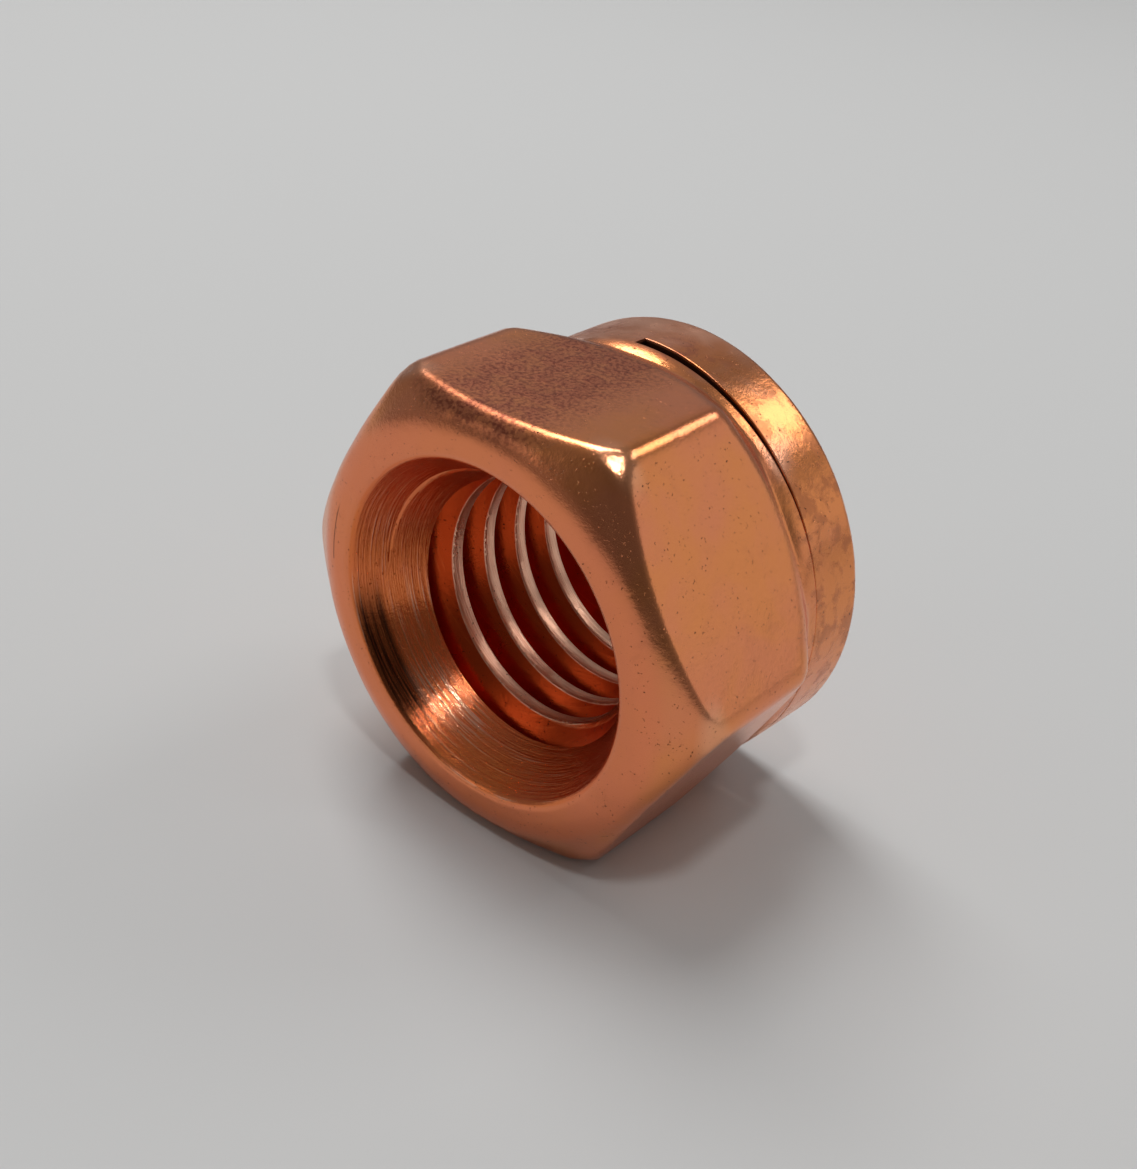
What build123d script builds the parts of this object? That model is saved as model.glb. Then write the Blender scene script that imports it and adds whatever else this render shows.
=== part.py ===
"""All-metal lock nut, M8 x 1.25: a cold-formed hexagon with a round slit collar.

The saw cut runs half way through the collar, and the tongue of metal behind it is pressed
towards the hexagon, which shifts its part of the thread and grips the bolt. It is one piece.

The nut lies on one of its flats. The thread axis runs along Y, the bearing face looks along
-Y and the collar points along +Y. One flat faces up, and two corners point along X. The
origin is on the thread axis, midway between the bearing face and the end of the collar.
The bore is made at the tapping size.
"""

from build123d import *
from math import cos, radians, sin, tan
import os

# ---------------------------------------------------------------- driving sizes, mm and degrees
thread_diameter = 8.0       # nominal size of the bolt
thread_pitch = 1.25         # coarse pitch of that bolt
across_flats = 12.0         # spanner size
nut_height = 8.3            # bearing face to the end of the collar
hex_height = 5.6            # bearing face to where the rear cone reaches the collar

corner_radius = 0.5         # rolled edge between two flats
bearing_margin = 0.525      # the bearing ring stays this far inside the flats
front_chamfer_angle = 33.0  # slope of the front chamfer, measured from the bearing face
front_blend = 1.2           # soft roll from the bearing face into the chamfer
front_edge_radius = 0.2     # softened edge where the chamfer meets the flats
rear_cone_angle = 46.0      # slope of the rear cone, measured from the bearing face
rear_blend = 0.5            # hollow roll from the rear cone into the collar

collar_step = 0.075         # the collar stands this far proud of the flats
collar_lead = 0.08          # small slope where the collar rises out of the flats
collar_rim_radius = 0.25    # rolled outer edge at the end of the collar

countersink_angle = 90.0    # included angle of both countersinks
bearing_ring = 0.8          # bearing face between the entry mouth and the front chamfer
entry_lip_radius = 0.3      # rolled lip of the entry mouth
exit_margin = 0.3           # the mouth in the collar is this much wider than the bolt, all round

slit_land = 0.49            # full collar between the rear cone and the saw cut
slit_width = 0.38           # thickness of the saw
slit_floor = 0.25           # the saw stops this far short of the thread axis
slit_turn = 6.0             # heading of the saw's stroke, from +X towards +Z
closed_rim = 0.15           # depth of rim over which the pressed tongue touches the hexagon
tongue_bend = 8.0           # soft bend at the root of the tongue

# ---------------------------------------------------------------- sizes that follow
front_y = -nut_height / 2
back_y = nut_height / 2
shoulder_y = front_y + hex_height
slit_y = shoulder_y + slit_land

flat_reach = across_flats / 2
corner_reach = flat_reach / cos(radians(30))
bearing_radius = flat_reach - bearing_margin
collar_radius = flat_reach + collar_step
chamfer_rise = (corner_reach - bearing_radius) * tan(radians(front_chamfer_angle))
cone_run = (corner_reach - collar_radius) * tan(radians(rear_cone_angle))

bore_radius = (thread_diameter - thread_pitch) / 2
entry_radius = bearing_radius - bearing_ring
exit_radius = thread_diameter / 2 + exit_margin
countersink_slope = tan(radians(countersink_angle / 2))
entry_depth = (entry_radius - bore_radius) / countersink_slope
exit_depth = (exit_radius - bore_radius) / countersink_slope
middle_of_wall = (exit_radius + collar_radius) / 2

# The tongue bends down about the floor of the saw cut until its rim closes the gap.
closing_reach = collar_radius - closed_rim
press_slope = slit_width / (closing_reach - slit_floor)
beyond = 2 * corner_reach
press_drop = (beyond - slit_floor) * press_slope

# Half section through the axis, on the side away from the saw cut: radius runs along its x,
# the thread axis along its y, and the saw cut lies where its x is negative.
heading = radians(slit_turn)
away_from_saw = (-cos(heading), 0, -sin(heading))
section = Plane(origin=(0, 0, 0), x_dir=away_from_saw, z_dir=(sin(heading), 0, -cos(heading)))


def sketch_corner(sketch, radius, height):
    """The sketch's vertex at this radius and height along the thread axis."""
    return sketch.vertices().sort_by_distance((radius, height))[0]


# ---------------------------------------------------------------- collar, pressed down on the saw's side
with BuildPart() as collar:
    with BuildSketch(section):
        with BuildLine():
            Polyline(
                (bore_radius, shoulder_y),
                (collar_radius - collar_lead, shoulder_y),
                (collar_radius, shoulder_y + collar_lead),
                (collar_radius, back_y),
                (exit_radius, back_y),
                (bore_radius, back_y - exit_depth),
                close=True,
            )
        make_face()
    revolve(axis=Axis.Y)

    # The end of the pressed tongue slopes down from above the floor of the saw cut.
    with BuildSketch(section) as pressed_away:
        with BuildLine():
            Polyline(
                (beyond, back_y),
                (-slit_floor, back_y),
                (-beyond, back_y - press_drop),
                (-beyond, back_y + beyond),
                (beyond, back_y + beyond),
                close=True,
            )
        make_face()
        fillet(sketch_corner(pressed_away, -slit_floor, back_y), radius=tongue_bend)
    extrude(amount=beyond, both=True, mode=Mode.SUBTRACT)

    # The curved edges round the end, outside the middle of its wall
    end_faces = collar.faces().filter_by(lambda face: face.normal_at().Y > cos(radians(30)))
    end_edges = end_faces.edges().filter_by(GeomType.LINE, reverse=True)
    rim_edges = end_edges.filter_by(lambda edge: edge.distance_to((0, back_y, 0)) > middle_of_wall)
    fillet(rim_edges, radius=collar_rim_radius)

# ---------------------------------------------------------------- the nut
with BuildPart() as lock_nut:
    # Hexagonal bar with rolled corners
    with BuildSketch(Plane.XZ.offset(-front_y)) as hexagon:
        RegularPolygon(radius=flat_reach, side_count=6, major_radius=False)
        fillet(hexagon.vertices(), radius=corner_radius)
    extrude(amount=-(hex_height + slit_land))

    # Section of the hexagon: bearing face, front chamfer, rear cone, root of the collar, bore
    with BuildSketch(section) as outline:
        with BuildLine():
            Polyline(
                (entry_radius, front_y),
                (bearing_radius, front_y),
                (corner_reach, front_y + chamfer_rise),
                (corner_reach, shoulder_y - cone_run),
                (collar_radius, shoulder_y),
                (collar_radius, slit_y),
                (bore_radius, slit_y),
                (bore_radius, front_y + entry_depth),
                close=True,
            )
        make_face()
        fillet(sketch_corner(outline, entry_radius, front_y), radius=entry_lip_radius)
        fillet(sketch_corner(outline, bearing_radius, front_y), radius=front_blend)
        fillet(sketch_corner(outline, collar_radius, shoulder_y), radius=rear_blend)
    revolve(axis=Axis.Y, mode=Mode.INTERSECT)

    # The curved edges where the front chamfer meets the flats and corners
    curved_edges = lock_nut.edges().filter_by(GeomType.HYPERBOLA)
    curved_edges += lock_nut.edges().filter_by(GeomType.BSPLINE)
    front_edges = curved_edges.filter_by_position(Axis.Y, front_y, front_y + chamfer_rise)
    fillet(front_edges, radius=front_edge_radius)

    add(collar.part)

    # Saw cut, square at its floor and pressed shut at the rim
    with BuildSketch(section):
        with BuildLine():
            Polyline(
                (-slit_floor, slit_y),
                (-slit_floor, slit_y + slit_width),
                (-closing_reach, slit_y),
                close=True,
            )
        make_face()
    extrude(amount=beyond, both=True, mode=Mode.SUBTRACT)

# ---------------------------------------------------------------- export
os.makedirs("parts", exist_ok=True)
lock_nut.part.label = "lock_nut"
export_step(lock_nut.part, "parts/lock_nut.step")
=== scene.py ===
"""Looks of a copper-plated all-metal lock nut, M8 x 1.25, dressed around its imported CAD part.

The nut is shaped as a works shapes it. A blank is turned and pressed into a hexagon die, its
front corners are rubbed, and it is tapped and sawn half way through its collar. The tongue
behind the saw cut is pressed down last. Lengths are in millimetres until the finished mesh is
scaled to metres.
"""

import logging
from dataclasses import dataclass, field
from enum import Enum
from math import atan, cos, degrees, pi, radians, sin, sqrt, tan

import bmesh
import bpy
from mathutils import Matrix, Vector, noise


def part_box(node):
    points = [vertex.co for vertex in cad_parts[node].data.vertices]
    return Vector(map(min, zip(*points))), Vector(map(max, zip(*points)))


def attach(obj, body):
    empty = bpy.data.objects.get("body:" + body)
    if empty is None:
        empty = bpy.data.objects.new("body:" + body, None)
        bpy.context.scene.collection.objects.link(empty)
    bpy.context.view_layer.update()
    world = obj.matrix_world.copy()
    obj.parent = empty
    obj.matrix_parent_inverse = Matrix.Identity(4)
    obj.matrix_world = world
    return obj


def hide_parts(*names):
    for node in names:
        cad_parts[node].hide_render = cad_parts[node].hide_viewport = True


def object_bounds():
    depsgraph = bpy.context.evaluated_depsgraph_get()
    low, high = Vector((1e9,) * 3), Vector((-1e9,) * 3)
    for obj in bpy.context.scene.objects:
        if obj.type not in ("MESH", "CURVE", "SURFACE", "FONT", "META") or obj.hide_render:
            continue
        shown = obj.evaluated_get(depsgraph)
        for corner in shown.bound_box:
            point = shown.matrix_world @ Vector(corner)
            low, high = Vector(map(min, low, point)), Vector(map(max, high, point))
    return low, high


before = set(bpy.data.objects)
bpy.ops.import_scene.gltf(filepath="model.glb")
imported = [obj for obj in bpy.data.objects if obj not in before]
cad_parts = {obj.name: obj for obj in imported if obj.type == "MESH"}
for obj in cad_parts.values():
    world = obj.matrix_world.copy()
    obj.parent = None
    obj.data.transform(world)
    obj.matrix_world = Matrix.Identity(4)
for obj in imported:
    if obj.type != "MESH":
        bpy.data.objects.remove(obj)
cad_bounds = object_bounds()

log = logging.getLogger("lock_nut")

NODE = "lock_nut"
BODY = "root"
MM = 0.001

CORNERS = 6
CORNER_STEP = pi / 3
HALF_CORNER = pi / 6
SIN_HALF_CORNER = 0.5
THREAD_FLANK = 30.0
SEAM_WELD = 1e-5
CUT_WELD = 2e-4

Colour = tuple[float, float, float]
Place = tuple[float, float, float]
Span = tuple[float, float]


def shifted(span: Span, origin: float) -> Span:
    """A span that is measured from an origin, measured from zero instead.

    Args:
        span: Start and end, from the origin.
        origin: The origin.

    Returns:
        Start and end, from zero.
    """
    return origin + span[0], origin + span[1]


def spin_section(
    bm: bmesh.types.BMesh, geom: list, rise: float, turns: int, steps: int, closed: bool
) -> None:
    """Spins a section round the nut's axis.

    Args:
        bm: The mesh.
        geom: The section's vertices and edges.
        rise: How far each step climbs towards the bearing face.
        turns: Number of turns.
        steps: Steps for each turn.
        closed: Whether the last step meets the first.
    """
    bmesh.ops.spin(
        bm,
        geom=geom,
        cent=(0.0, 0.0, 0.0),
        axis=(0.0, -1.0 if rise else 1.0, 0.0),
        dvec=(0.0, -rise, 0.0),
        angle=2 * pi * turns,
        steps=turns * steps,
        use_merge=closed,
        use_duplicate=False,
    )


def as_object(bm: bmesh.types.BMesh, name: str) -> bpy.types.Object:
    """Makes an object of a mesh.

    Args:
        bm: The mesh, which is freed.
        name: The object's name.

    Returns:
        The object, linked to the scene.
    """
    mesh = bpy.data.meshes.new(name)
    bm.to_mesh(mesh)
    bm.free()
    made = bpy.data.objects.new(name, mesh)
    bpy.context.scene.collection.objects.link(made)
    return made


# ---------------------------------------------------------------- shader graphs
class Shade:
    """One output socket of a shader graph, on which Python arithmetic adds Math nodes."""

    def __init__(self, graph: "ShaderGraph", socket: bpy.types.NodeSocket) -> None:
        """Wraps a socket.

        Args:
            graph: The graph that the socket belongs to.
            socket: The output socket.
        """
        self.graph = graph
        self.socket = socket

    def _maths(self, operation: str, *terms: "Shade | float") -> "Shade":
        """Adds one Math node.

        Args:
            operation: The Math node's operation.
            terms: Its inputs, in order.

        Returns:
            The node's value.
        """
        return self.graph.node("ShaderNodeMath", {"operation": operation}, dict(enumerate(terms)))

    def __add__(self, other: "Shade | float") -> "Shade":
        """The sum."""
        return self._maths("ADD", self, other)

    def __radd__(self, other: float) -> "Shade":
        """The sum, from the right."""
        return self._maths("ADD", other, self)

    def __sub__(self, other: "Shade | float") -> "Shade":
        """The difference."""
        return self._maths("SUBTRACT", self, other)

    def __rsub__(self, other: float) -> "Shade":
        """The difference, from the right."""
        return self._maths("SUBTRACT", other, self)

    def __mul__(self, other: "Shade | float") -> "Shade":
        """The product."""
        return self._maths("MULTIPLY", self, other)

    def __rmul__(self, other: float) -> "Shade":
        """The product, from the right."""
        return self._maths("MULTIPLY", other, self)

    def __truediv__(self, other: "Shade | float") -> "Shade":
        """The quotient."""
        return self._maths("DIVIDE", self, other)

    def __rtruediv__(self, other: float) -> "Shade":
        """The quotient, from the right."""
        return self._maths("DIVIDE", other, self)

    def root(self) -> "Shade":
        """The square root."""
        return self._maths("SQRT", self)

    def size(self) -> "Shade":
        """The value without its sign."""
        return self._maths("ABSOLUTE", self)

    def angle_from(self, other: "Shade") -> "Shade":
        """The angle whose tangent is this value over the other."""
        return self._maths("ARCTAN2", self, other)

    def ramp(self, low: float, high: float) -> "Shade":
        """A smooth rise from 0 to 1.

        Args:
            low: The value where the rise starts.
            high: The value where it ends; below low, the rise becomes a fall.

        Returns:
            The rise.
        """
        if low > high:
            return 1.0 - self.ramp(high, low)
        return self.graph.node(
            "ShaderNodeMapRange",
            {"interpolation_type": "SMOOTHSTEP"},
            {"Value": self, "From Min": low, "From Max": high},
        )

    def near(self, middle: "Shade | float", half: float, soft: float) -> "Shade":
        """A window: 1 near a value and 0 away from it.

        Args:
            middle: The value.
            half: How far the window reaches to either side.
            soft: Width of its soft border.

        Returns:
            The window.
        """
        return (self - middle).size().ramp(half + soft, half)


class ShaderGraph:
    """The node graph of one material or of the world."""

    def __init__(self, tree: bpy.types.NodeTree) -> None:
        """Takes over an empty node tree.

        Args:
            tree: The tree, whose nodes are removed.
        """
        self.tree = tree
        tree.nodes.clear()

    def node(
        self,
        kind: str,
        settings: dict[str, object] | None = None,
        inputs: dict[str | int, object] | None = None,
        output: str | int = 0,
    ) -> Shade:
        """Adds one node.

        Args:
            kind: The node's type name.
            settings: Its settings, which are set first.
            inputs: Values or links of its input sockets, by name or number.
            output: The output socket to return.

        Returns:
            The chosen output.
        """
        made = self.tree.nodes.new(kind)
        for name, value in (settings or {}).items():
            setattr(made, name, value)
        for name, value in (inputs or {}).items():
            socket = made.inputs[name]
            if isinstance(value, Shade):
                self.tree.links.new(value.socket, socket)
            elif isinstance(value, tuple) and len(value) == 3 and len(socket.default_value) == 4:
                socket.default_value = (*value, 1.0)
            else:
                socket.default_value = value
        return Shade(self, made.outputs[output] if made.outputs else None)

    def mix(self, share: Shade, first: Shade | Colour, second: Colour) -> Shade:
        """Mixes two colours.

        Args:
            share: Share of the second colour.
            first: The first colour.
            second: The second colour.

        Returns:
            The mixed colour.
        """
        return self.node(
            "ShaderNodeMix",
            {"data_type": "RGBA", "blend_type": "MIX", "clamp_factor": True},
            {0: share, 6: first, 7: second},
            output=2,
        )

    def grain(self, place: Shade, kind: "Grain") -> Shade:
        """Noise between 0 and 1.

        Args:
            place: Where the noise is read.
            kind: How coarse and how uneven it is.

        Returns:
            The noise.
        """
        return self.node(
            "ShaderNodeTexNoise",
            {"noise_dimensions": "3D"},
            {
                "Vector": place,
                "Scale": kind.scale,
                "Detail": kind.detail,
                "Roughness": kind.rough,
                "Distortion": kind.warp,
            },
        )

    def join(self, x: Shade, y: Shade, z: Shade) -> Shade:
        """A vector of three values."""
        return self.node("ShaderNodeCombineXYZ", None, {0: x, 1: y, 2: z})

    def split(self, place: Shade) -> tuple[Shade, Shade, Shade]:
        """Takes a vector apart.

        Args:
            place: The vector.

        Returns:
            Its x, y and z.
        """
        first = self.node("ShaderNodeSeparateXYZ", None, {"Vector": place}, "X")
        outputs = first.socket.node.outputs
        return first, Shade(self, outputs["Y"]), Shade(self, outputs["Z"])

    def show(self, kind: str, surface: Shade) -> None:
        """Adds the output node.

        Args:
            kind: The output node's type name.
            surface: The shader that it shows.
        """
        self.node(kind, None, {"Surface": surface})


# ---------------------------------------------------------------- finishes
@dataclass(frozen=True)
class Grain:
    """How coarse and how uneven a noise is."""

    scale: float
    detail: float = 3.0
    rough: float = 0.5
    warp: float = 0.0


@dataclass(frozen=True)
class Grains:
    """The noises that vary the plating, and how the turned lines are drawn out round the axis."""

    cloud: Grain = Grain(0.45, warp=0.3)
    mottle: Grain = Grain(1.9, 5.0, 0.62, 0.5)
    fine: Grain = Grain(9.0, rough=0.6)
    speck: Grain = Grain(13.0, 2.0)
    lines: Grain = Grain(1.0, rough=0.7)
    lines_round: float = 1.3
    lines_along: float = 26.0
    lines_out: float = 9.0


@dataclass(frozen=True)
class Zones:
    """Borders of the parts of the surface, in millimetres.

    A span runs from where a part's mask is 0 to where it is 1. Depths count from the bearing
    face, and the spans named "past" count from the edge that they name.
    """

    cone_half: float = 0.03
    cone_fade: float = 0.05
    front_depth: Span = (2.4, 2.1)
    bore_radius: Span = (4.25, 4.12)
    land_past_bore: Span = (0.05, 0.02)
    land_depth: Span = (1.6, 1.9)
    face_depth: Span = (0.35, 0.05)
    nose_radius: Span = (6.40, 6.70)
    nose_depth: Span = (1.6, 1.1)
    top_height: Span = (5.2, 5.9)
    top_past_shoulder: Span = (0.1, -0.5)
    collar_past_shoulder: Span = (0.1, 0.4)
    collar_radius: Span = (5.3, 5.7)
    sawn_fade: float = 0.03
    sawn_radius: Span = (4.15, 4.30)
    sawn_past_collar: Span = (-0.02, -0.09)


@dataclass(frozen=True)
class Mark:
    """A patch that follows an edge round the axis, with angles in degrees and the rest in mm."""

    middle: float
    half_sweep: float
    sweep_fade: float
    inset: float
    half_width: float
    width_fade: float

    def mask(self, turn: Shade, radius: Shade, edge: float) -> Shade:
        """Where the patch lies.

        Args:
            turn: Direction from the axis.
            radius: Distance from the axis.
            edge: Radius of the edge that it follows.

        Returns:
            The mask.
        """
        sweep = turn.near(radians(self.middle), radians(self.half_sweep), radians(self.sweep_fade))
        return sweep * radius.near(edge - self.inset, self.half_width, self.width_fade)


@dataclass(frozen=True)
class Tarnish:
    """How tarnish gathers: heavier on the flat that faces up and on parts of the collar."""

    top_mottle: Span = (0.34, 0.60)
    top_vary: float = 0.5
    top_least: float = 0.6
    top_middle: float = -0.5
    top_half: float = 0.9
    top_fade: float = 1.9
    top_patch: float = 0.92
    top_rest: float = 0.04
    collar_mottle: Span = (0.46, 0.60)
    collar_vary: float = 0.45
    collar_side: Span = (2.6, 0.4)
    collar_height: Span = (0.0, 3.0)
    collar_patch: float = 0.55
    all_over_mottle: Span = (0.52, 0.80)
    all_over: float = 0.15

    def on_top(self, zone: Shade, mottle: Shade, x: Shade) -> Shade:
        """Tarnish on the flat that faces up.

        Args:
            zone: Where the flat lies.
            mottle: The mottled noise.
            x: Place across the flat.

        Returns:
            Its share.
        """
        varied = mottle.ramp(*self.top_mottle) * self.top_vary + self.top_least
        patch = x.near(self.top_middle, self.top_half, self.top_fade)
        return zone * varied * (patch * self.top_patch + self.top_rest)

    def on_collar(self, zone: Shade, mottle: Shade, x: Shade, z: Shade) -> Shade:
        """Tarnish on the collar.

        Args:
            zone: Where the collar lies.
            mottle: The mottled noise.
            x: Place to the side.
            z: Height.

        Returns:
            Its share.
        """
        patch = x.ramp(*self.collar_side) * z.ramp(*self.collar_height)
        varied = mottle.ramp(*self.collar_mottle) * self.collar_vary
        return zone * (varied + patch * self.collar_patch)


@dataclass(frozen=True)
class Gloss:
    """Roughness of the bare plating, and what each part of the surface adds or takes away."""

    plain: float = 0.20
    cloud: float = 0.06
    tarnish: float = 0.18
    sawn: float = 0.3
    bore: float = 0.05
    nose: float = 0.05
    # Less rough in the painted glints of the countersink
    cone_glint: float = 0.08

    def roughness(self, at: "SurfaceMap") -> Shade:
        """The roughness at each place of the surface.

        Args:
            at: The surface.

        Returns:
            The roughness.
        """
        dull = self.plain + at.cloud * self.cloud + at.tarnish * self.tarnish
        dull = dull + at.sawn * self.sawn + at.bore * self.bore
        return dull - at.nose * self.nose - at.cone_glint * self.cone_glint


@dataclass(frozen=True)
class Relief:
    """Height of the fine marks, and how strongly each part of the surface shows turned lines."""

    mottle: float = 0.010
    fine: float = 0.005
    lines: float = 0.012
    pits: float = 0.012
    lines_cone: float = 1.3
    lines_land: float = 0.8
    lines_bore: float = 0.6
    lines_all_over: float = 0.06

    def bump(self, graph: ShaderGraph, at: "SurfaceMap") -> Shade:
        """The normal that the fine marks give.

        Args:
            graph: The material's graph.
            at: The surface.

        Returns:
            The normal.
        """
        lined = at.cone * self.lines_cone + at.land * self.lines_land
        lined = lined + at.bore * self.lines_bore + self.lines_all_over
        height = at.mottle * self.mottle + at.fine * self.fine
        height = height + at.lines * lined * self.lines - at.pits * self.pits
        sockets = {"Strength": 1.0, "Distance": MM, "Height": height}
        return graph.node("ShaderNodeBump", None, sockets)


class SurfaceMap:
    """Places, noises and masks of the nut's surface, as its material reads them."""

    def __init__(self, graph: ShaderGraph, nut: "LockNut", plating: "CopperPlating") -> None:
        """Lays the map out.

        Args:
            graph: The material's graph.
            nut: The nut, whose sizes place the masks.
            plating: The plating, which has the noises, zones and marks.
        """
        spot = graph.node("ShaderNodeTexCoord", None, None, "Object")
        scale = {"Vector": spot, "Scale": (1 / MM,) * 3}
        place = graph.node("ShaderNodeMapping", {"vector_type": "POINT"}, scale)
        self.x, self.y, self.z = graph.split(place)
        self.radius = (self.x * self.x + self.z * self.z).root()
        self.turn = self.z.angle_from(self.x)
        self.depth = self.y - nut.front
        self._lay_noises(graph, place, plating.grains)
        self._lay_zones(nut, plating.zones)
        self._lay_wear(nut, plating)

    def _lay_noises(self, graph: ShaderGraph, place: Shade, grains: Grains) -> None:
        """Lays the noises.

        Args:
            graph: The material's graph.
            place: Place in millimetres.
            grains: Their kinds.
        """
        self.cloud = graph.grain(place, grains.cloud)
        self.mottle = graph.grain(place, grains.mottle)
        self.fine = graph.grain(place, grains.fine)
        self.speck = graph.grain(place, grains.speck)
        around = graph.join(
            self.x / self.radius * grains.lines_round,
            self.z / self.radius * grains.lines_round,
            self.depth * grains.lines_along + self.radius * grains.lines_out,
        )
        self.lines = graph.grain(around, grains.lines)

    def _lay_zones(self, nut: "LockNut", zones: Zones) -> None:
        """Lays the masks of the nut's faces.

        Args:
            nut: The nut.
            zones: Their borders.
        """
        radius, depth, y = self.radius, self.depth, self.y
        slope_radius = nut.entry - depth * nut.entry_slope
        self.at_front = depth.ramp(*zones.front_depth)
        self.cone = radius.near(slope_radius, zones.cone_half, zones.cone_fade) * self.at_front
        self.bore = radius.ramp(*zones.bore_radius) * (1.0 - self.cone)
        self.land = radius.ramp(*shifted(zones.land_past_bore, nut.bore))
        self.land = self.land * depth.ramp(*zones.land_depth)
        self.face = depth.ramp(*zones.face_depth) * (1.0 - self.cone)
        self.top = y.ramp(*shifted(zones.top_past_shoulder, nut.shoulder))
        self.top = self.z.ramp(*zones.top_height) * self.top
        self.collar = y.ramp(*shifted(zones.collar_past_shoulder, nut.shoulder))
        self.collar = self.collar * radius.ramp(*zones.collar_radius)
        # The saw cut's walls, which get painted shade and more roughness
        half_slit = nut.slit_width / 2
        self.sawn = y.near(nut.slit + half_slit, half_slit, zones.sawn_fade)
        self.sawn = self.sawn * radius.ramp(*zones.sawn_radius)
        self.sawn = self.sawn * radius.ramp(*shifted(zones.sawn_past_collar, nut.collar))

    def _lay_wear(self, nut: "LockNut", plating: "CopperPlating") -> None:
        """Lays the masks of tarnish, rubbing, marks, painted glints and pits.

        Args:
            nut: The nut.
            plating: The plating.
        """
        zones, tarnish = plating.zones, plating.tarnish
        self.top_tarnish = tarnish.on_top(self.top, self.mottle, self.x)
        collar_tarnish = tarnish.on_collar(self.collar, self.mottle, self.x, self.z)
        self.tarnish = self.mottle.ramp(*tarnish.all_over_mottle) * tarnish.all_over
        self.tarnish = self.tarnish + self.top_tarnish + collar_tarnish
        self.nose = self.radius.ramp(*zones.nose_radius) * self.depth.ramp(*zones.nose_depth)
        self.nose = self.nose * plating.nose_share
        # A dark streak along the countersink's lower left lip
        varied = self.lines.ramp(*plating.dark_streak_lines) * plating.dark_streak_vary + plating.dark_streak_least
        dark_streak = plating.dark_streak.mask(self.turn, self.radius, nut.entry)
        self.dark_streak = dark_streak * self.at_front * varied
        # Painted glints: pale streaks along the turned lines of the countersink
        cone_glint = plating.cone_glint.mask(self.turn, self.radius, nut.entry)
        self.cone_glint = cone_glint * self.cone * self.lines.ramp(*plating.cone_glint_lines)
        scratch = plating.scratch.mask(self.turn, self.radius, nut.bearing)
        self.scratch = scratch * self.depth.ramp(*plating.scratch_depth) * plating.scratch_share
        self.pits = self.speck.ramp(*plating.pit_speck) * self.mottle.ramp(*plating.pit_mottle)


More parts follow.
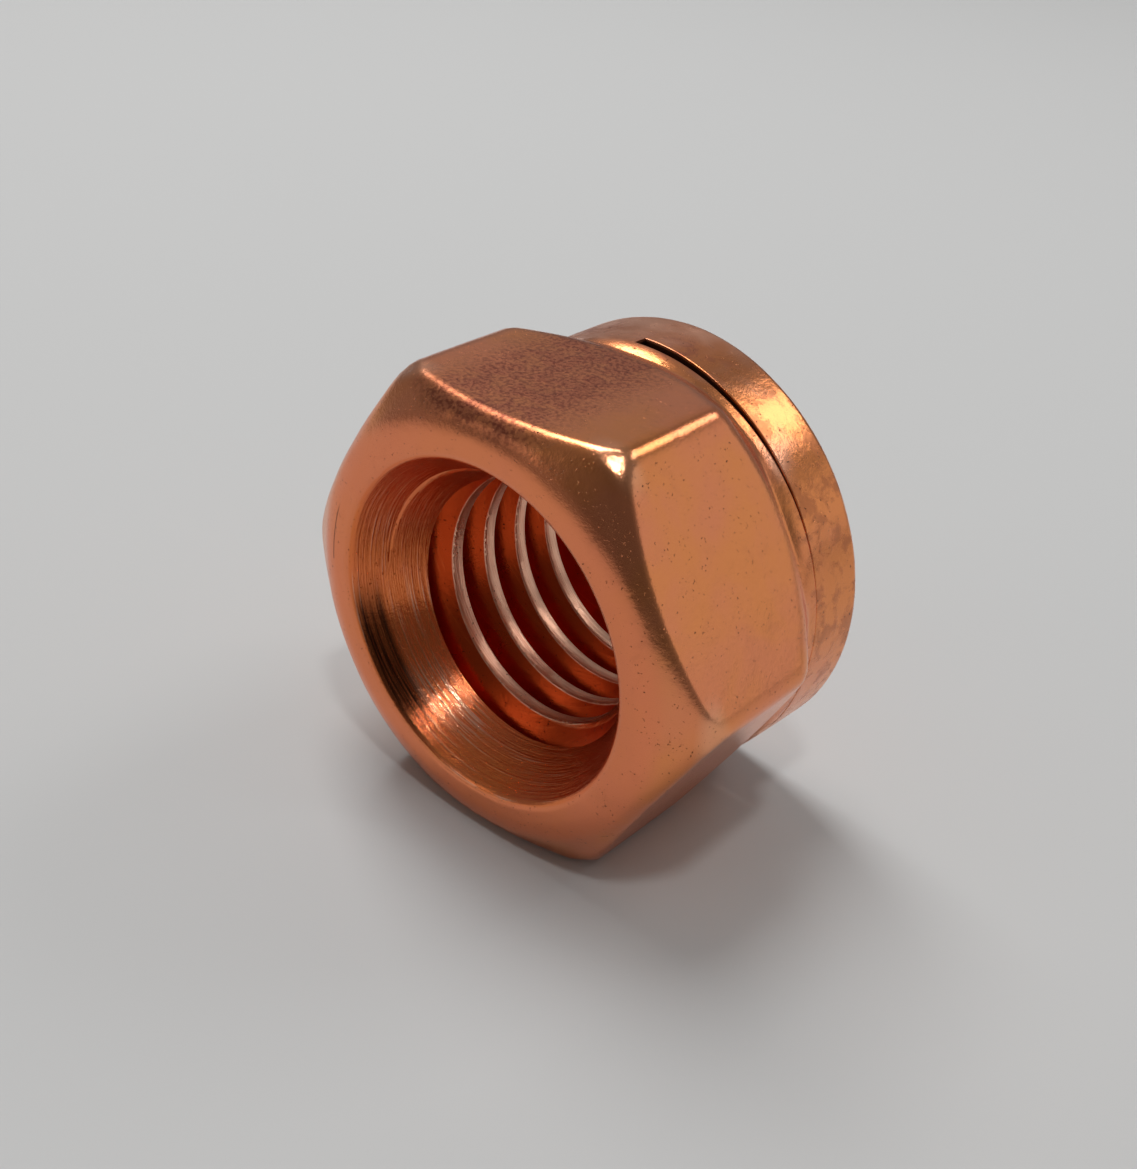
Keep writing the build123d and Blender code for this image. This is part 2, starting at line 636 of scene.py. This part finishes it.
@dataclass(frozen=True)
class CopperPlating:
    """Satin copper over steel, tarnished in patches, bright where worn, with painted sheen, glints
    and shade.
    """

    name: str = "copper_plating"
    fresh: Colour = (0.87, 0.305, 0.105)
    pink: Colour = (0.86, 0.29, 0.135)
    brown: Colour = (0.40, 0.13, 0.065)
    maroon: Colour = (0.20, 0.05, 0.028)
    # Dark colour of marks and pits, also used as the painted shade in the saw cut
    soot_and_shade: Colour = (0.035, 0.010, 0.006)
    deep: Colour = (0.80, 0.150, 0.035)
    # Painted shade colour of the bore
    bore_shade: Colour = (0.55, 0.060, 0.011)
    rose: Colour = (0.86, 0.255, 0.12)
    pale: Colour = (0.98, 0.58, 0.40)

    grains: Grains = Grains()
    zones: Zones = Zones()
    tarnish: Tarnish = Tarnish()
    gloss: Gloss = Gloss()
    relief: Relief = Relief()

    # A dark streak along the countersink's lower left lip
    dark_streak: Mark = Mark(-144.0, 16.0, 19.0, 0.22, 0.12, 0.16)
    dark_streak_lines: Span = (0.38, 0.58)
    dark_streak_vary: float = 0.35
    dark_streak_least: float = 0.62
    # Painted glints: pale streaks in the countersink
    cone_glint: Mark = Mark(-118.0, 10.0, 14.0, 0.62, 0.12, 0.20)
    cone_glint_lines: Span = (0.46, 0.58)
    scratch: Mark = Mark(172.0, 8.0, 5.0, 0.22, 0.0, 0.035)
    scratch_depth: Span = (0.5, 0.3)
    scratch_share: float = 0.8
    pit_speck: Span = (0.66, 0.73)
    pit_mottle: Span = (0.42, 0.60)
    pit_share: float = 0.8

    pink_cloud: Span = (0.35, 0.68)
    face_share: float = 0.7
    maroon_fine: Span = (0.42, 0.62)
    maroon_share: float = 0.9
    # Painted sheen: the collar turns paler towards its top
    collar_sheen_cloud: Span = (0.38, 0.68)
    collar_height: Span = (2.0, 4.5)
    collar_sheen_share: float = 0.5
    bore_lines: Span = (0.58, 0.72)
    bore_share: float = 0.35
    cone_deep: float = 0.55
    cone_lines: Span = (0.56, 0.70)
    cone_pale: float = 0.6
    land_lines: Span = (0.34, 0.56)
    land_vary: float = 0.35
    land_least: float = 0.6
    nose_share: float = 0.3
    # Share of the painted shade in the saw cut
    slit_shade_share: float = 0.93

    def colour(self, graph: ShaderGraph, at: SurfaceMap) -> Shade:
        """The colour at each place of the surface.

        Args:
            graph: The material's graph.
            at: The surface.

        Returns:
            The colour.
        """
        colour = graph.mix(at.cloud.ramp(*self.pink_cloud), self.fresh, self.pink)
        colour = graph.mix(at.face * self.face_share, colour, self.rose)
        colour = graph.mix(at.tarnish, colour, self.brown)
        blotched = at.top_tarnish * at.fine.ramp(*self.maroon_fine) * self.maroon_share
        colour = graph.mix(blotched, colour, self.maroon)
        # Painted sheen: pale copper mixed in higher up the collar
        collar_sheen = at.collar * at.cloud.ramp(*self.collar_sheen_cloud) * at.z.ramp(*self.collar_height)
        colour = graph.mix(collar_sheen * self.collar_sheen_share, colour, self.pale)

        # Painted shade makes the bore darker and redder; the thread's crests are paler
        colour = graph.mix(at.bore, colour, self.bore_shade)
        bore_lines = at.lines.ramp(*self.bore_lines) * self.bore_share
        colour = graph.mix(at.bore * bore_lines, colour, self.deep)
        colour = graph.mix(at.cone * self.cone_deep, colour, self.deep)
        cone_lines = at.lines.ramp(*self.cone_lines) * self.cone_pale
        colour = graph.mix(at.cone * cone_lines, colour, self.pale)
        land_lines = at.lines.ramp(*self.land_lines) * self.land_vary + self.land_least
        colour = graph.mix(at.land * land_lines, colour, self.pale)
        colour = graph.mix(at.nose, colour, self.pale)

        # A dark streak runs along the countersink's lower lip, and painted glints streak it pale
        colour = graph.mix(at.dark_streak, colour, self.soot_and_shade)
        colour = graph.mix(at.cone_glint, colour, self.pale)
        colour = graph.mix(at.scratch, colour, self.soot_and_shade)
        colour = graph.mix(at.pits * self.pit_share, colour, self.soot_and_shade)
        # Painted shade darkens the walls of the saw cut
        return graph.mix(at.sawn * self.slit_shade_share, colour, self.soot_and_shade)

    def material(self, nut: "LockNut") -> bpy.types.Material:
        """Makes the material.

        Args:
            nut: The nut, whose sizes place the patches.

        Returns:
            The material, which reads Object coordinates.
        """
        made = bpy.data.materials.new(self.name)
        made.use_nodes = True
        graph = ShaderGraph(made.node_tree)
        at = SurfaceMap(graph, nut, self)
        shader = graph.node(
            "ShaderNodeBsdfPrincipled",
            None,
            {
                "Base Color": self.colour(graph, at),
                "Metallic": 1.0,
                "Roughness": self.gloss.roughness(at),
                "Normal": self.relief.bump(graph, at),
            },
        )
        graph.show("ShaderNodeOutputMaterial", shader)
        return made


@dataclass(frozen=True)
class PaleFloorPaint:
    """Plain pale grey, matt."""

    name: str = "pale_floor"
    grey: Colour = (0.62, 0.62, 0.615)
    rough: float = 0.9
    specular: float = 0.2

    def material(self) -> bpy.types.Material:
        """Makes the material.

        Returns:
            The material.
        """
        made = bpy.data.materials.new(self.name)
        made.use_nodes = True
        graph = ShaderGraph(made.node_tree)
        shader = graph.node(
            "ShaderNodeBsdfPrincipled",
            None,
            {
                "Base Color": self.grey,
                "Roughness": self.rough,
                "Specular IOR Level": self.specular,
            },
        )
        graph.show("ShaderNodeOutputMaterial", shader)
        return made


# ---------------------------------------------------------------- the nut
class Cut(Enum):
    """Which tool takes metal away."""

    TAP = "tap"
    SAW = "saw"


@dataclass
class TurnedOutline:
    """Half section of a turned blank: a closed outline in radius and length, its corners rolled."""

    corners: list[tuple[Vector, float, float]] = field(default_factory=list)
    least_segments: int = 4
    segment_turn: float = 6.0

    def corner(self, radius: float, length: float, row: float, roll: float = 0.0) -> None:
        """Adds the next corner.

        Args:
            radius: Its distance from the axis.
            length: Its place along the axis.
            row: Longest step along the side that follows it.
            roll: Radius of its rounding.
        """
        self.corners.append((Vector((radius, length, 0.0)), row, roll))

    def rolled(self) -> bmesh.types.BMesh:
        """Joins the corners, rounds them and divides the sides into rows.

        Returns:
            The outline as a closed wire.
        """
        bm = bmesh.new()
        verts = [bm.verts.new(place) for place, _, _ in self.corners]
        bm.faces.new(verts)
        count = len(verts)
        for index, (place, _, roll) in enumerate(self.corners):
            if roll:
                before = self.corners[index - 1][0] - place
                after = self.corners[(index + 1) % count][0] - place
                turn = pi - before.angle(after)
                bmesh.ops.bevel(
                    bm,
                    geom=[verts[index]],
                    offset=roll * tan(turn / 2),
                    offset_type="OFFSET",
                    segments=max(self.least_segments, round(degrees(turn) / self.segment_turn)),
                    profile=0.5,
                    affect="VERTICES",
                    material=-1,
                )
        for edge in list(bm.edges):
            middle = (edge.verts[0].co + edge.verts[1].co) / 2
            cuts = int(edge.calc_length() / self._row_at(middle))
            if cuts:
                bmesh.ops.subdivide_edges(bm, edges=[edge], cuts=cuts)
        bmesh.ops.delete(bm, geom=list(bm.faces), context="FACES_ONLY")
        return bm

    def _row_at(self, place: Vector) -> float:
        """Longest step allowed on the side nearest to a place.

        Args:
            place: The place.

        Returns:
            The step.
        """
        count = len(self.corners)
        sides = []
        for index, (start, row, _) in enumerate(self.corners):
            run = self.corners[(index + 1) % count][0] - start
            share = max(0.0, min(1.0, (place - start).dot(run) / run.length_squared))
            sides.append(((place - start - run * share).length, row))
        return min(sides)[1]


@dataclass(frozen=True)
class RowSteps:
    """Longest step between two rows of the blank, on each of its sides."""

    entry: float = 0.10
    ring: float = 0.12
    front: float = 0.08
    side: float = 0.14
    rear: float = 0.08
    collar: float = 0.12
    end: float = 0.2
    exit: float = 0.12
    bore: float = 0.6


@dataclass
class LockNut:
    """The nut: hexagon, countersinks, tapped bore, and the sawn collar with its pressed tongue."""

    plating: CopperPlating
    thread_diameter: float = 8.0
    pitch: float = 1.25
    across_flats: float = 12.0
    hex_height: float = 5.6
    corner_roll: float = 0.5
    bearing_margin: float = 0.525
    front_slope: float = 33.0
    front_blend: float = 1.2
    rear_slope: float = 46.0
    rear_blend: float = 0.5
    edge_blend: float = 0.42
    nose_tilt: float = 28.0
    nose_wear: float = 0.17
    nose_soft: float = 0.05
    rim_roll: float = 0.25
    bearing_ring: float = 0.8
    entry_roll: float = 0.3
    entry_angle: float = 60.0
    exit_margin: float = 0.3
    exit_roll: float = 0.12
    slit_land: float = 0.49
    slit_width: float = 0.38
    slit_floor: float = 0.25
    slit_turn: float = 6.0
    slit_lip: float = 0.035
    closing_reach: float = 5.925
    bend_length: float = 1.5
    first_crest: float = 4.55
    root_clearance: float = 0.12
    columns: int = 360
    column_pull: float = 0.62
    rows: RowSteps = RowSteps()
    tap_steps: int = 144
    tap_overrun: float = 1.2
    tap_core: float = 0.15
    tap_core_flare: float = 0.05
    crest_break: float = 0.04
    crest_flare: float = 1.3
    root_round: float = 0.05
    root_flat_share: float = 0.6
    lip_fold: float = 50.0
    lip_reach: float = 0.05
    lip_level: float = 1e-3
    lip_segments: int = 2
    tongue_lean: float = 0.8
    dent: float = 0.012
    dent_from: float = 1.3
    dent_broad: float = 0.9
    dent_fine: float = 2.3
    dent_fine_share: float = 0.4
    crease: float = 42.0

    def __post_init__(self) -> None:
        """Takes the outer sizes from the CAD node."""
        low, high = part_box(NODE)
        self.front = low.y / MM
        self.back = high.y / MM
        self.collar = -low.z / MM
        self.shoulder = self.front + self.hex_height
        self.slit = self.shoulder + self.slit_land
        self.bore = (self.thread_diameter - self.pitch) / 2
        self.flat = self.across_flats / 2
        self.bearing = self.flat - self.bearing_margin
        self.entry = self.bearing - self.bearing_ring
        self.entry_slope = tan(radians(self.entry_angle / 2))
        self.blank_reach = self.flat / cos(HALF_CORNER) + self.edge_blend
        self.press_angle = atan(self.slit_width / (self.closing_reach - self.slit_floor))
        turn = radians(self.slit_turn)
        self.stroke = Vector((cos(turn), 0.0, sin(turn)))

    # ---- turning and pressing
    def turned_blank(self) -> bmesh.types.BMesh:
        """Spins the half section into a ring.

        Returns:
            The blank, a closed ring.
        """
        rows = self.rows
        mouth = self.thread_diameter / 2 + self.exit_margin
        sink = (self.entry - self.bore) / self.entry_slope
        rise = (self.blank_reach - self.bearing) * tan(radians(self.front_slope))
        fall = (self.blank_reach - self.collar) * tan(radians(self.rear_slope))
        outline = TurnedOutline()
        outline.corner(self.bore, self.front + sink, rows.entry)
        outline.corner(self.entry, self.front, rows.ring, self.entry_roll)
        outline.corner(self.bearing, self.front, rows.front, self.front_blend)
        outline.corner(self.blank_reach, self.front + rise, rows.side)
        outline.corner(self.blank_reach, self.shoulder - fall, rows.rear)
        outline.corner(self.collar, self.shoulder, rows.collar, self.rear_blend)
        outline.corner(self.collar, self.back, rows.end, self.rim_roll)
        outline.corner(mouth, self.back, rows.exit, self.exit_roll)
        outline.corner(self.bore, self.back - (mouth - self.bore), rows.bore)
        bm = outline.rolled()
        spin_section(bm, list(bm.verts) + list(bm.edges), 0.0, 1, self.columns, True)
        bmesh.ops.remove_doubles(bm, verts=list(bm.verts), dist=SEAM_WELD)
        bmesh.ops.recalc_face_normals(bm, faces=list(bm.faces))
        return bm

    @staticmethod
    def direction(vert: bmesh.types.BMVert) -> float:
        """Direction of a vertex from the axis, from +X towards +Z."""
        return -Vector((vert.co.x, vert.co.z)).angle_signed(Vector((1.0, 0.0)), 0.0)

    def gather_columns(self, bm: bmesh.types.BMesh) -> None:
        """Moves the columns of the ring closer together near the six corners.

        Args:
            bm: The blank.
        """
        for vert in bm.verts:
            pull = self.column_pull / CORNERS * sin(CORNERS * self.direction(vert))
            vert.co = Matrix.Rotation(pull, 3, "Y") @ vert.co

    @staticmethod
    def soft_least(proud: float, soft: float) -> float:
        """The lesser of a height and zero, with a rounded change from one to the other.

        Args:
            proud: The height.
            soft: How far the rounding reaches to either side.

        Returns:
            The height that is left.
        """
        gap = max(0.0, 1.0 - abs(proud) / soft)
        return min(proud, 0.0) - gap * gap * soft / 4

    def wall(self, angle: float) -> float:
        """Distance from the axis to the wall of the hexagon die.

        Args:
            angle: Direction from the axis, from +X towards +Z.

        Returns:
            The distance.
        """
        off = abs((angle + HALF_CORNER) % CORNER_STEP - HALF_CORNER)
        centre = (self.flat - self.corner_roll) / cos(HALF_CORNER)
        reach = centre + self.corner_roll * cos(HALF_CORNER)
        if off > atan(self.corner_roll * SIN_HALF_CORNER / reach):
            return self.flat / cos(HALF_CORNER - off)
        return centre * cos(off) + sqrt(self.corner_roll**2 - (centre * sin(off)) ** 2)

    def press_hexagon(self, bm: bmesh.types.BMesh) -> None:
        """Presses the blank into the hexagon die, with soft edges.

        Args:
            bm: The blank.
        """
        for vert in bm.verts:
            across = Vector((vert.co.x, 0.0, vert.co.z))
            radius = across.length
            if radius < self.bearing:
                continue
            wall = self.wall(self.direction(vert)) + max(0.0, vert.co.y - self.shoulder)
            pressed = self.soft_least(radius - wall, self.edge_blend) + wall
            vert.co.x *= pressed / radius
            vert.co.z *= pressed / radius

    def wear_noses(self, bm: bmesh.types.BMesh) -> None:
        """Rubs the six front corners flat, where nuts strike each other in the plating barrel.

        Args:
            bm: The pressed nut.
        """
        tilt = radians(self.nose_tilt)
        reach = self.wall(0.0)
        crossing = self.front + (reach - self.bearing) * tan(radians(self.front_slope))
        limit = reach * cos(tilt) - crossing * sin(tilt) - self.nose_wear
        for corner in range(CORNERS):
            turned = Matrix.Rotation(corner * pi / 3, 3, "Y")
            way = turned @ Vector((cos(tilt), -sin(tilt), 0.0))
            for vert in bm.verts:
                proud = vert.co.dot(way) - limit
                if proud > -self.nose_soft:
                    vert.co -= way * (proud - self.soft_least(proud, self.nose_soft))

    # ---- tools that cut
    def tap(self) -> bmesh.types.BMesh:
        """The tap: one coil with the thread's groove as its section, and a soft edge at the crest.

        Returns:
            The coil, closed at both ends.
        """
        slope = tan(radians(THREAD_FLANK))
        turns = round((self.back - self.front + 2 * self.tap_overrun) / self.pitch)
        major = self.thread_diameter / 2 + self.root_clearance
        crest = self.bore + self.crest_break
        core = self.bore - self.tap_core
        # A standard root is an eighth of the pitch wide, and narrows with the clearance
        half_root = self.pitch / 16 - self.root_clearance * slope
        at_crest = half_root + (major - crest) * slope
        at_bore = at_crest + (crest - self.bore) * self.crest_flare
        start = self.front + self.first_crest - at_bore
        start += self.pitch * round((self.back + self.tap_overrun - start) / self.pitch)
        flank = [
            (major, half_root * self.root_flat_share),
            (major - self.root_round, half_root + self.root_round * slope),
            (crest, at_crest),
            (self.bore, at_bore),
            (core, at_bore + self.tap_core_flare),
        ]
        section = flank + [(radius, -along) for radius, along in reversed(flank)]
        section.insert(0, section.pop())
        bm = bmesh.new()
        verts = [bm.verts.new((radius, start + along, 0.0)) for radius, along in section]
        loop = [bm.edges.new((verts[i - 1], verts[i])) for i in range(len(verts))]
        spin_section(bm, verts + loop, self.pitch / self.tap_steps, turns, self.tap_steps, False)
        ends = [edge for edge in bm.edges if edge.is_boundary]
        bmesh.ops.holes_fill(bm, edges=ends, sides=0)
        bmesh.ops.recalc_face_normals(bm, faces=list(bm.faces))
        return bm

    def saw(self) -> bmesh.types.BMesh:
        """The saw: a plate that has cut half way through the collar.

        Returns:
            The plate.
        """
        bm = bmesh.new()
        reach = 2 * self.collar
        bmesh.ops.create_cube(bm, size=1.0)
        bmesh.ops.scale(bm, vec=(reach, self.slit_width, 2 * reach), verts=list(bm.verts))
        place = Vector((self.slit_floor + reach / 2, self.slit + self.slit_width / 2, 0.0))
        bmesh.ops.translate(bm, vec=place, verts=list(bm.verts))
        bmesh.ops.rotate(
            bm,
            cent=(0.0, 0.0, 0.0),
            matrix=Matrix.Rotation(-radians(self.slit_turn), 3, "Y"),
            verts=list(bm.verts),
        )
        return bm

    @staticmethod
    def put_in_order(bm: bmesh.types.BMesh) -> None:
        """Orders a mesh by place, because a cut leaves its parts in an order that varies.

        Args:
            bm: The mesh.
        """
        ranked = sorted(bm.verts, key=lambda vert: tuple(vert.co))
        rank = {vert: place for place, vert in enumerate(ranked)}
        bm.verts.sort(key=rank.get)
        bm.verts.index_update()
        for parts in (bm.edges, bm.faces):
            ranked = sorted(parts, key=lambda part: sorted(vert.index for vert in part.verts))
            rank = {part: place for place, part in enumerate(ranked)}
            parts.sort(key=rank.get)
            parts.index_update()

    def cut(self, blank: bmesh.types.BMesh, cut: Cut) -> bmesh.types.BMesh:
        """Takes away what one tool cuts.

        Args:
            blank: The metal, which is freed.
            cut: The tool.

        Returns:
            The metal that is left.
        """
        work = as_object(blank, "work")
        tool = as_object(self.tap() if cut is Cut.TAP else self.saw(), cut.value)
        step = work.modifiers.new(cut.value, "BOOLEAN")
        step.operation = "DIFFERENCE"
        step.solver = "EXACT"
        step.object = tool
        graph = bpy.context.evaluated_depsgraph_get()
        left = bmesh.new()
        left.from_mesh(work.evaluated_get(graph).to_mesh())
        for used in (work, tool):
            mesh = used.data
            bpy.data.objects.remove(used)
            bpy.data.meshes.remove(mesh)
        self.put_in_order(left)
        bmesh.ops.remove_doubles(left, verts=list(left.verts), dist=CUT_WELD)
        bmesh.ops.dissolve_degenerate(left, edges=list(left.edges), dist=CUT_WELD)
        return left

    # ---- closing the slit
    def at_lip(self, vert: bmesh.types.BMVert) -> bool:
        """Tells whether a vertex lies on a wall of the saw cut, at the collar's surface.

        Args:
            vert: The vertex.

        Returns:
            Whether it does.
        """
        walls = (self.slit, self.slit + self.slit_width)
        on_wall = min(abs(vert.co.y - wall) for wall in walls) < self.lip_level
        return on_wall and Vector((vert.co.x, vert.co.z)).length > self.collar - self.lip_reach

    def soften_slit(self, bm: bmesh.types.BMesh) -> None:
        """Rolls the outer lips of the saw cut.

        Args:
            bm: The sawn nut.
        """
        lips = [
            edge
            for edge in bm.edges
            if len(edge.link_faces) == 2
            and edge.calc_face_angle(0.0) >= radians(self.lip_fold)
            and all(self.at_lip(vert) for vert in edge.verts)
        ]
        bmesh.ops.bevel(
            bm,
            geom=lips,
            offset=self.slit_lip,
            offset_type="OFFSET",
            segments=self.lip_segments,
            profile=0.5,
            affect="EDGES",
            material=-1,
            clamp_overlap=True,
        )
        log.info("saw cut: %d lip edges rolled", len(lips))

    def press_tongue(self, bm: bmesh.types.BMesh) -> None:
        """Bends the tongue behind the saw cut down towards the hexagon.

        Args:
            bm: The sawn nut.
        """
        middle = self.slit + self.slit_width / 2
        first = self.slit_floor - self.bend_length / 2
        for vert in bm.verts:
            out = vert.co.dot(self.stroke)
            if vert.co.y < middle or out <= first:
                continue
            share = min(1.0, (out - first) / self.bend_length)
            bent = self.press_angle * share * share * (3 - 2 * share)
            straight = max(0.0, out - first - self.bend_length)
            run = self.bend_length * (share**3 - share**4 / 2) + straight
            vert.co.y -= tan(self.press_angle) * run
            vert.co += self.stroke * (tan(bent) * (vert.co.y - self.slit) * self.tongue_lean)

    def dent_surface(self, bm: bmesh.types.BMesh) -> None:
        """Gives the pressed faces the slight unevenness of barrel-plated parts.

        Args:
            bm: The nut.
        """
        bm.normal_update()
        for vert in bm.verts:
            if Vector((vert.co.x, vert.co.z)).length > self.bore + self.dent_from:
                broad = noise.noise(vert.co * self.dent_broad)
                push = broad + self.dent_fine_share * noise.noise(vert.co * self.dent_fine)
                vert.co -= vert.normal * self.dent * max(0.0, push)

    def build(self) -> bpy.types.Object:
        """Makes the nut and puts it in place of its CAD node.

        Returns:
            The nut.
        """
        bm = self.turned_blank()
        self.gather_columns(bm)
        self.press_hexagon(bm)
        self.wear_noses(bm)
        self.dent_surface(bm)
        bm = self.cut(bm, Cut.TAP)
        bm = self.cut(bm, Cut.SAW)
        self.soften_slit(bm)
        self.press_tongue(bm)
        bmesh.ops.scale(bm, vec=(MM, MM, MM), verts=list(bm.verts))
        nut = as_object(bm, "lock_nut_plated")
        for polygon in nut.data.polygons:
            polygon.use_smooth = True
        nut.data.set_sharp_from_angle(angle=radians(self.crease))
        nut.data.materials.append(self.plating.material(self))
        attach(nut, BODY)
        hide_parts(NODE)
        return nut


# ---------------------------------------------------------------- where it stands
@dataclass
class Table:
    """A plain pale surface under the nut. It isn't part of the object."""

    paint: PaleFloorPaint
    half_size: float = 1.2

    def build(self, height: float) -> bpy.types.Object:
        """Makes the surface.

        Args:
            height: The height of its top, in metres.

        Returns:
            The surface.
        """
        bm = bmesh.new()
        bmesh.ops.create_grid(bm, x_segments=1, y_segments=1, size=self.half_size)
        bmesh.ops.translate(bm, vec=(0.0, 0.0, height), verts=list(bm.verts))
        top = as_object(bm, "table_top")
        top.data.materials.append(self.paint.material())
        return top


@dataclass(frozen=True)
class SoftBox:
    """One soft lamp that points at the nut."""

    name: str
    place: Place
    width: float
    height: float
    power: float

    def build(self) -> bpy.types.Object:
        """Makes the lamp.

        Returns:
            The lamp.
        """
        lamp = bpy.data.lights.new(self.name, "AREA")
        lamp.shape = "RECTANGLE"
        lamp.size = self.width
        lamp.size_y = self.height
        lamp.energy = self.power
        made = bpy.data.objects.new(self.name, lamp)
        made.location = self.place
        made.rotation_euler = (-Vector(self.place)).to_track_quat("-Z", "Y").to_euler()
        bpy.context.scene.collection.objects.link(made)
        return made


@dataclass
class Studio:
    """Soft lamps in a pale room whose front side is dim."""

    lamps: tuple[SoftBox, ...] = (
        SoftBox("key", (-0.112, 0.045, 0.246), 0.09, 0.20, 0.44),
        SoftBox("high_front", (0.078, -0.07, 0.26), 0.024, 0.024, 0.10),
        SoftBox("front_left", (-0.155, -0.21, 0.11), 0.11, 0.09, 0.022),
        SoftBox("back_left", (-0.155, 0.185, 0.145), 0.18, 0.14, 0.010),
        SoftBox("back_right", (0.20, 0.19, 0.065), 0.26, 0.12, 0.040),
        SoftBox("back_high", (0.08, 0.19, 0.185), 0.12, 0.07, 0.090),
    )
    room: Colour = (0.20, 0.20, 0.20)
    dim: Colour = (0.10, 0.098, 0.095)
    dim_side: Place = (0.60, -0.72, 0.35)
    dim_border: Span = (0.45, 0.85)

    def build(self) -> None:
        """Makes the lamps and the room."""
        for lamp in self.lamps:
            lamp.build()
        world = bpy.data.worlds.new("room")
        bpy.context.scene.world = world
        world.use_nodes = True
        graph = ShaderGraph(world.node_tree)
        way = graph.node("ShaderNodeTexCoord", None, None, "Generated")
        sides = {0: way, 1: self.dim_side}
        facing = graph.node("ShaderNodeVectorMath", {"operation": "DOT_PRODUCT"}, sides, "Value")
        wall = graph.mix(facing.ramp(*self.dim_border), self.room, self.dim)
        light = graph.node("ShaderNodeBackground", None, {"Color": wall, "Strength": 1.0})
        graph.show("ShaderNodeOutputWorld", light)


@dataclass(frozen=True)
class Viewpoint:
    """The camera."""

    place: Place = (0.021711, -0.026664, 0.020771)
    target: Place = (-0.0002188, -0.0003274, -0.0001826)
    roll: float = 3.60
    lens: float = 46.42
    sensor: float = 36.0
    nearest: float = 0.001
    farthest: float = 10.0

    def build(self) -> bpy.types.Object:
        """Makes the camera.

        Returns:
            The camera.
        """
        camera = bpy.data.cameras.new("viewpoint")
        camera.lens = self.lens
        camera.sensor_width = self.sensor
        camera.sensor_fit = "AUTO"
        camera.clip_start = self.nearest
        camera.clip_end = self.farthest
        made = bpy.data.objects.new("viewpoint", camera)
        aim = (Vector(self.target) - Vector(self.place)).to_track_quat("-Z", "Y").to_matrix()
        made.matrix_world = Matrix.Translation(self.place) @ (
            aim @ Matrix.Rotation(radians(self.roll), 3, "Z")
        ).to_4x4()
        bpy.context.scene.collection.objects.link(made)
        bpy.context.scene.camera = made
        return made


def main() -> None:
    """Builds every piece in order, and reports the nut and the table."""
    logging.basicConfig(level=logging.INFO, format="%(name)s: %(message)s")
    bpy.context.scene.view_settings.view_transform = "Standard"
    nut = LockNut(CopperPlating()).build()
    log.info("%s: %d faces", nut.name, len(nut.data.polygons))
    top = Table(PaleFloorPaint()).build(cad_bounds[0][2])
    log.info("%s at %.4f m", top.name, cad_bounds[0][2])
    Studio().build()
    Viewpoint().build()


if __name__ == "__main__":
    main()
